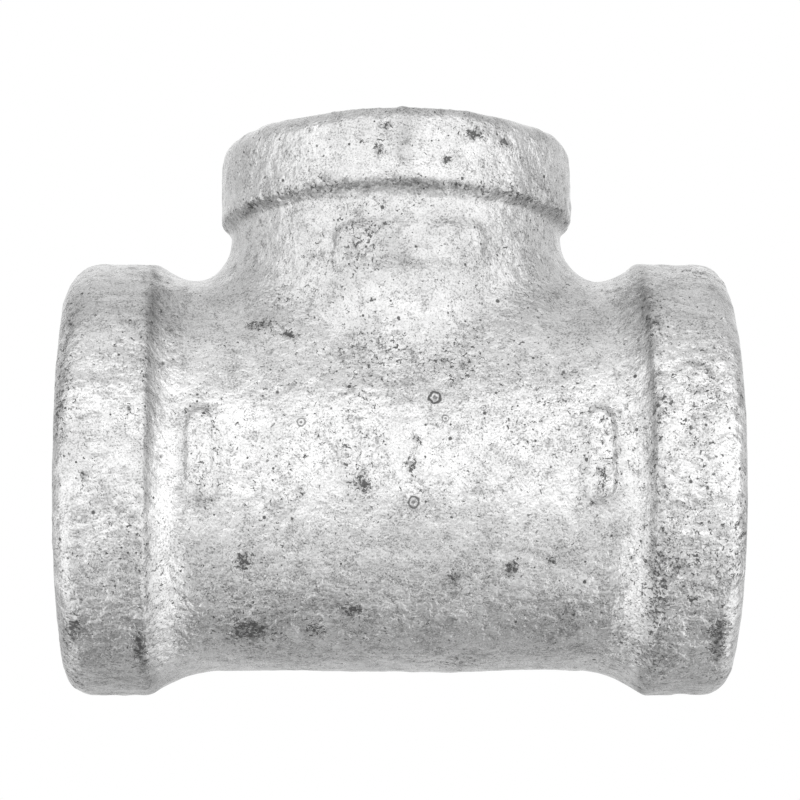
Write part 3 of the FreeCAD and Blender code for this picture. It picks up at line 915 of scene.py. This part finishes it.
# --------------------------------------------------------------------- materials
class Shading:
    """A node tree and short ways to add nodes to it."""

    def __init__(self, tree, place="Object"):
        self.nodes = tree.nodes
        self.links = tree.links
        self.nodes.clear()
        self.place = self.nodes.new("ShaderNodeTexCoord").outputs[place]

    def feed(self, socket, value):
        """Link a node's output to the socket, or set a plain number or colour on it."""
        if isinstance(value, bpy.types.NodeSocket):
            self.links.new(value, socket)
        else:
            socket.default_value = value

    def noise(self, size_mm, detail=2.0, roughness=0.5, distortion=0.0):
        return self.noise_field(1.0 / (size_mm * MM), detail, roughness, distortion)

    def noise_field(self, scale, detail, roughness=0.5, distortion=0.0, place=None):
        texture = self.nodes.new("ShaderNodeTexNoise")
        texture.inputs["Scale"].default_value = scale
        texture.inputs["Detail"].default_value = detail
        texture.inputs["Roughness"].default_value = roughness
        texture.inputs["Distortion"].default_value = distortion
        self.links.new(place or self.place, texture.inputs["Vector"])
        return texture.outputs["Fac"]

    def dots(self, spacing_mm, share_without, largest, ragged):
        """Ragged dots, one in some of the cells; sizes are in parts of the spacing."""
        cells = self.nodes.new("ShaderNodeTexVoronoi")
        cells.inputs["Scale"].default_value = 1.0 / (spacing_mm * MM)
        self.links.new(self.place, cells.inputs["Vector"])
        split = self.nodes.new("ShaderNodeSeparateColor")
        self.links.new(cells.outputs["Color"], split.inputs["Color"])
        radius = self.remap(split.outputs["Red"], share_without, 1.0, -0.05, largest)
        uneven = self.math("ADD", radius, self.math("MULTIPLY", radius, ragged))
        return self.remap(self.math("SUBTRACT", uneven, cells.outputs["Distance"]), -0.02, 0.04)

    def streaks(self, length_mm, width_mm, slant):
        """Noise drawn out along a slanting line in the front view."""
        turn = self.nodes.new("ShaderNodeMapping")
        turn.inputs["Rotation"].default_value = (0.0, math.radians(slant), 0.0)
        sizes = (length_mm, width_mm, width_mm)
        turn.inputs["Scale"].default_value = [1.0 / (size * MM) for size in sizes]
        self.links.new(self.place, turn.inputs["Vector"])
        return self.noise_field(1.0, 3.0, place=turn.outputs["Vector"])

    def blow_mark(self, middle_mm, radius_mm, wobble):
        """A dark uneven ring round a point of the surface, with a dark pit in it."""
        away = self.distance(middle_mm)
        uneven = self.math("ADD", away, self.math("MULTIPLY", wobble, 0.7 * radius_mm * MM))
        radius = radius_mm * MM
        off = self.math("ABSOLUTE", self.math("SUBTRACT", uneven, 1.3 * radius), 0.0)
        darkness = min(1.0, 1.7 * radius_mm)
        ring = self.remap(off, 0.08 * radius, 0.32 * radius, darkness, 0.0)
        pit = self.remap(uneven, 0.50 * radius, 0.85 * radius, 0.75, 0.0)
        return self.math("MAXIMUM", ring, pit)

    def distance(self, middle_mm):
        """Distance from a point, with depth counted less so that the skin's lumps don't matter."""
        squash = (1.0, 0.25, 1.0)
        squashed = self.nodes.new("ShaderNodeVectorMath")
        squashed.operation = "MULTIPLY"
        self.links.new(self.place, squashed.inputs[0])
        squashed.inputs[1].default_value = squash
        away = self.nodes.new("ShaderNodeVectorMath")
        away.operation = "DISTANCE"
        self.links.new(squashed.outputs["Vector"], away.inputs[0])
        middle = [length * share * MM for length, share in zip(middle_mm, squash)]
        away.inputs[1].default_value = middle
        return away.outputs["Value"]

    def attribute(self, name):
        node = self.nodes.new("ShaderNodeAttribute")
        node.attribute_name = name
        return node.outputs["Fac"]

    def remap(self, value, low, high, to_low=0.0, to_high=1.0):
        """Smooth step from one number to another while the value goes from low to high."""
        node = self.nodes.new("ShaderNodeMapRange")
        node.interpolation_type = "SMOOTHSTEP"
        for name, amount in (
            ("Value", value),
            ("From Min", low),
            ("From Max", high),
            ("To Min", to_low),
            ("To Max", to_high),
        ):
            self.feed(node.inputs[name], amount)
        return node.outputs["Result"]

    def math(self, operation, a, b):
        node = self.nodes.new("ShaderNodeMath")
        node.operation = operation
        self.feed(node.inputs[0], a)
        self.feed(node.inputs[1], b)
        return node.outputs[0]

    def mix(self, factor, first, second):
        """Mix two colours; a Mix node's colour sockets are found by number only."""
        first_colour, second_colour, result_colour = 6, 7, 2
        node = self.nodes.new("ShaderNodeMix")
        node.data_type = "RGBA"
        self.feed(node.inputs["Factor"], factor)
        self.feed(node.inputs[first_colour], first)
        self.feed(node.inputs[second_colour], second)
        return node.outputs[result_colour]

    def mix_shaders(self, factor, first, second):
        node = self.nodes.new("ShaderNodeMixShader")
        self.feed(node.inputs["Fac"], factor)
        self.feed(node.inputs[1], first)
        self.feed(node.inputs[2], second)
        return node.outputs["Shader"]

    def bump(self, height, distance_mm):
        node = self.nodes.new("ShaderNodeBump")
        node.inputs["Distance"].default_value = distance_mm * MM
        self.links.new(height, node.inputs["Height"])
        return node.outputs["Normal"]

    def finish(self, surface, output="ShaderNodeOutputMaterial"):
        self.links.new(surface, self.nodes.new(output).inputs["Surface"])


def grey(value):
    return (value, value, value, 1.0)


def new_material(name):
    material = bpy.data.materials.new(name)
    material.use_nodes = True
    return material, Shading(material.node_tree)


def front_point(x, z):
    """Point of the barrel's front at that place in the front view, in millimetres."""
    return (x, -math.sqrt(BARREL_RADIUS**2 - z**2), z)


def galvanised_zinc():
    """Grainy hot-dip zinc over a sand-cast skin, with dark dross specks and smudges."""
    material, s = new_material("galvanised_zinc")
    shader = s.nodes.new("ShaderNodeBsdfPrincipled")
    shader.inputs["Metallic"].default_value = 1.0

    # Sizes in millimetres, from the finest to the broadest.
    grain = s.noise(0.19, 2.0, 0.6)
    fine_dents = s.noise(0.5, 2.0)
    blots = s.noise(0.8, 5.0, 0.7, 0.8)
    peel = s.noise(1.1, 2.0, 0.5)
    clouds = s.noise(1.6, 3.0, 0.6)
    drifts = s.noise(2.6, 3.0, 0.7)
    patches = s.noise(4.5, 4.0, 0.65)
    runs = s.streaks(5.0, 0.7, 28.0)
    dross_level = s.math("MULTIPLY", s.attribute("dross"), 0.16)

    # Clean zinc: patches, clouds and slanting runs of the bath.
    tone = s.mix(s.remap(patches, 0.3, 0.7), grey(0.64), grey(0.84))
    tone = s.mix(s.remap(clouds, 0.52, 0.72, 0.0, 0.45), tone, grey(0.42))
    tone = s.mix(s.remap(runs, 0.50, 0.72, 0.0, 0.25), tone, grey(0.48))

    # Dark and bright grains, stronger where the clouds are.
    lively = s.math("SUBTRACT", clouds, s.math("MULTIPLY", patches, 0.5))
    grain_depth = s.remap(lively, 0.12, 0.42, 0.35, 0.95)
    dark_grain = s.math("MULTIPLY", s.remap(grain, 0.36, 0.50, 1.0, 0.0), grain_depth)
    bright_grain = s.remap(grain, 0.56, 0.70, 0.0, 0.4)
    grained = s.mix(bright_grain, s.mix(dark_grain, tone, grey(0.28)), grey(0.90))

    smudge = s.remap(s.math("ADD", blots, dross_level), 0.60, 0.74, 0.0, 0.6)
    smudged = s.mix(smudge, grained, grey(0.24))

    # Specks of dross: a few of each size everywhere, many where it gathered, and crusts.
    ragged = s.math("MULTIPLY", s.math("SUBTRACT", s.noise(0.30, 2.0), 0.5), 0.35)
    few = s.dots(1.7, 0.60, 0.13, ragged)
    small = s.dots(0.85, 0.72, 0.16, ragged)
    many = s.dots(0.62, 0.45, 0.24, ragged)
    gathered = s.remap(s.math("ADD", drifts, dross_level), 0.62, 0.70)
    crust = s.remap(s.math("ADD", s.noise(0.42, 3.0, 0.7, 0.8), dross_level), 0.685, 0.725)
    specks = s.math("MAXIMUM", s.math("MAXIMUM", few, small), s.math("MULTIPLY", many, gathered))
    specks = s.math("MAXIMUM", specks, crust)
    wobble = s.noise(0.5, 1.0)
    for x, z, radius in BUBBLES:
        specks = s.math("MAXIMUM", specks, s.blow_mark(front_point(x, z), radius, wobble))
    for x, z, radius in PINHOLES:
        away = s.distance(front_point(x, z))
        pinhole = s.remap(away, 0.4 * radius * MM, 1.4 * radius * MM, 1.0, 0.0)
        specks = s.math("MAXIMUM", specks, pinhole)
    specked = s.mix(s.math("MULTIPLY", specks, 0.92), smudged, grey(0.09))
    # Painted shade darkens the colour in the creases, low on the run, on the neck's front and round the
    # marks; the same layer also holds a smudge up the branch band.
    s.feed(shader.inputs["Base Color"], s.mix(s.attribute("shade_and_smudge"), specked, grey(0.12)))

    rough = s.remap(peel, 0.3, 0.7, 0.23, 0.34)
    s.feed(shader.inputs["Roughness"], s.math("ADD", rough, s.math("MULTIPLY", specks, 0.2)))

    peel_depth = s.remap(s.attribute("coarseness"), 0.0, 1.0, 2.8, 5.2)
    height = s.math("ADD", s.math("MULTIPLY", peel, peel_depth), s.math("MULTIPLY", grain, 0.6))
    height = s.math("ADD", height, s.math("MULTIPLY", fine_dents, 1.7))
    height = s.math("SUBTRACT", height, s.math("MULTIPLY", specks, 0.6))
    s.feed(shader.inputs["Normal"], s.bump(height, 0.063))
    s.finish(shader.outputs["BSDF"])
    return material


def cut_iron():
    """Bare iron left by the thread tap, lightly oiled, with dark pores and a few stains."""
    material, s = new_material("cut_iron")
    shader = s.nodes.new("ShaderNodeBsdfPrincipled")
    shader.inputs["Metallic"].default_value = 1.0
    blotch = s.noise(3.0, 4.0, 0.6)
    pores = s.noise(0.5, 3.0, 0.7)
    tone = s.mix(s.remap(blotch, 0.32, 0.68), (0.36, 0.355, 0.35, 1.0), (0.56, 0.555, 0.55, 1.0))
    colour = s.mix(s.remap(pores, 0.62, 0.72), tone, (0.15, 0.145, 0.14, 1.0))
    s.feed(shader.inputs["Base Color"], colour)
    s.feed(shader.inputs["Roughness"], s.remap(blotch, 0.3, 0.7, 0.22, 0.40))
    height = s.math("ADD", s.noise(0.25, 2.0), s.math("MULTIPLY", pores, -0.6))
    s.feed(shader.inputs["Normal"], s.bump(height, 0.012))
    s.finish(shader.outputs["BSDF"])
    return material


def floor_paint():
    """White photo table, lit a little from below; a camera under it sees through it."""
    material, s = new_material("floor_paint")
    matte = s.nodes.new("ShaderNodeBsdfPrincipled")
    matte.inputs["Base Color"].default_value = grey(0.62)
    matte.inputs["Roughness"].default_value = 0.9
    matte.inputs["Emission Color"].default_value = grey(1.0)
    matte.inputs["Emission Strength"].default_value = 0.34
    clear = s.nodes.new("ShaderNodeBsdfTransparent")
    behind = s.nodes.new("ShaderNodeNewGeometry").outputs["Backfacing"]
    s.finish(s.mix_shaders(behind, matte.outputs["BSDF"], clear.outputs["BSDF"]))
    return material


zinc = galvanised_zinc()
iron = cut_iron()
for piece in castings:
    piece.data.materials.append(zinc)
for name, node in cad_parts.items():
    node.data.materials.clear()
    node.data.materials.append(iron if name.endswith("pipe_thread") else zinc)

# --------------------------------------------------------------- floor and light
FLOOR_HALF = 1.5
level = cad_low[2]
floor_mesh = bpy.data.meshes.new("floor")
floor_signs = [(-1, -1), (1, -1), (1, 1), (-1, 1)]
floor_corners = [(x * FLOOR_HALF, y * FLOOR_HALF, level) for x, y in floor_signs]
floor_mesh.from_pydata(floor_corners, [], [(0, 1, 2, 3)])
floor_mesh.materials.append(floor_paint())
floor = bpy.data.objects.new("floor", floor_mesh)
bpy.context.scene.collection.objects.link(floor)
# The metal mirrors the room below the table too, and the table holds none of its light back.
floor.visible_glossy = False
floor.visible_shadow = False


def direction(azimuth, elevation):
    """Unit vector; azimuth 0 is in front, 90 to the right."""
    a, e = math.radians(azimuth), math.radians(elevation)
    return Vector((math.sin(a) * math.cos(e), -math.cos(a) * math.cos(e), math.sin(e)))


# Radiance of the room's pale walls, of the wide window-like glow in front, and of the smaller
# glows: azimuth, elevation, cosines of the angles where each ends and where it is full, radiance.
WALLS = 0.74
FRONT_GLOW = 0.68
OTHER_GLOWS = [
    (180, 25, 0.75, 0.97, 0.31),
    (90, -42, 0.70, 0.94, 0.60),
    (-90, -42, 0.70, 0.94, 0.60),
    (180, -80, 0.695, 0.97, -0.38),
    (0, 84, 0.925, 0.995, 0.26),
    (0, -62, 0.925, 0.99, 0.09),
]


def studio_world():
    """Soft studio: a wide glow in front, smaller ones behind and low at both sides."""
    world = bpy.data.worlds.new("studio")
    world.use_nodes = True
    s = Shading(world.node_tree, "Generated")

    def glow(azimuth, elevation, edge, full, radiance):
        dot = s.nodes.new("ShaderNodeVectorMath")
        dot.operation = "DOT_PRODUCT"
        s.links.new(s.place, dot.inputs[0])
        dot.inputs[1].default_value = direction(azimuth, elevation)
        return s.remap(dot.outputs["Value"], edge, full, 0.0, radiance)

    aim = s.nodes.new("ShaderNodeSeparateXYZ")
    s.links.new(s.place, aim.inputs["Vector"])
    ahead, height = aim.outputs["Y"], aim.outputs["Z"]
    window = s.math("MULTIPLY", s.remap(height, -0.85, 0.10), s.remap(height, 1.04, 0.45))
    window = s.math("MULTIPLY", window, s.remap(ahead, 0.12, -0.45, 0.0, FRONT_GLOW))
    uneven = s.remap(s.noise_field(3.0, 1.0), 0.35, 0.65, 0.70, 1.35)
    total = s.math("ADD", s.math("MULTIPLY", window, uneven), WALLS)
    for values in OTHER_GLOWS:
        total = s.math("ADD", total, glow(*values))
    room = s.nodes.new("ShaderNodeBackground")
    room.inputs["Color"].default_value = grey(1.0)
    s.feed(room.inputs["Strength"], total)
    backdrop = s.nodes.new("ShaderNodeBackground")
    backdrop.inputs["Color"].default_value = grey(1.0)
    seen = s.nodes.new("ShaderNodeLightPath").outputs["Is Camera Ray"]
    both = s.mix_shaders(seen, room.outputs["Background"], backdrop.outputs["Background"])
    s.finish(both, "ShaderNodeOutputWorld")
    return world


bpy.context.scene.world = studio_world()
bpy.context.scene.view_settings.view_transform = "Standard"
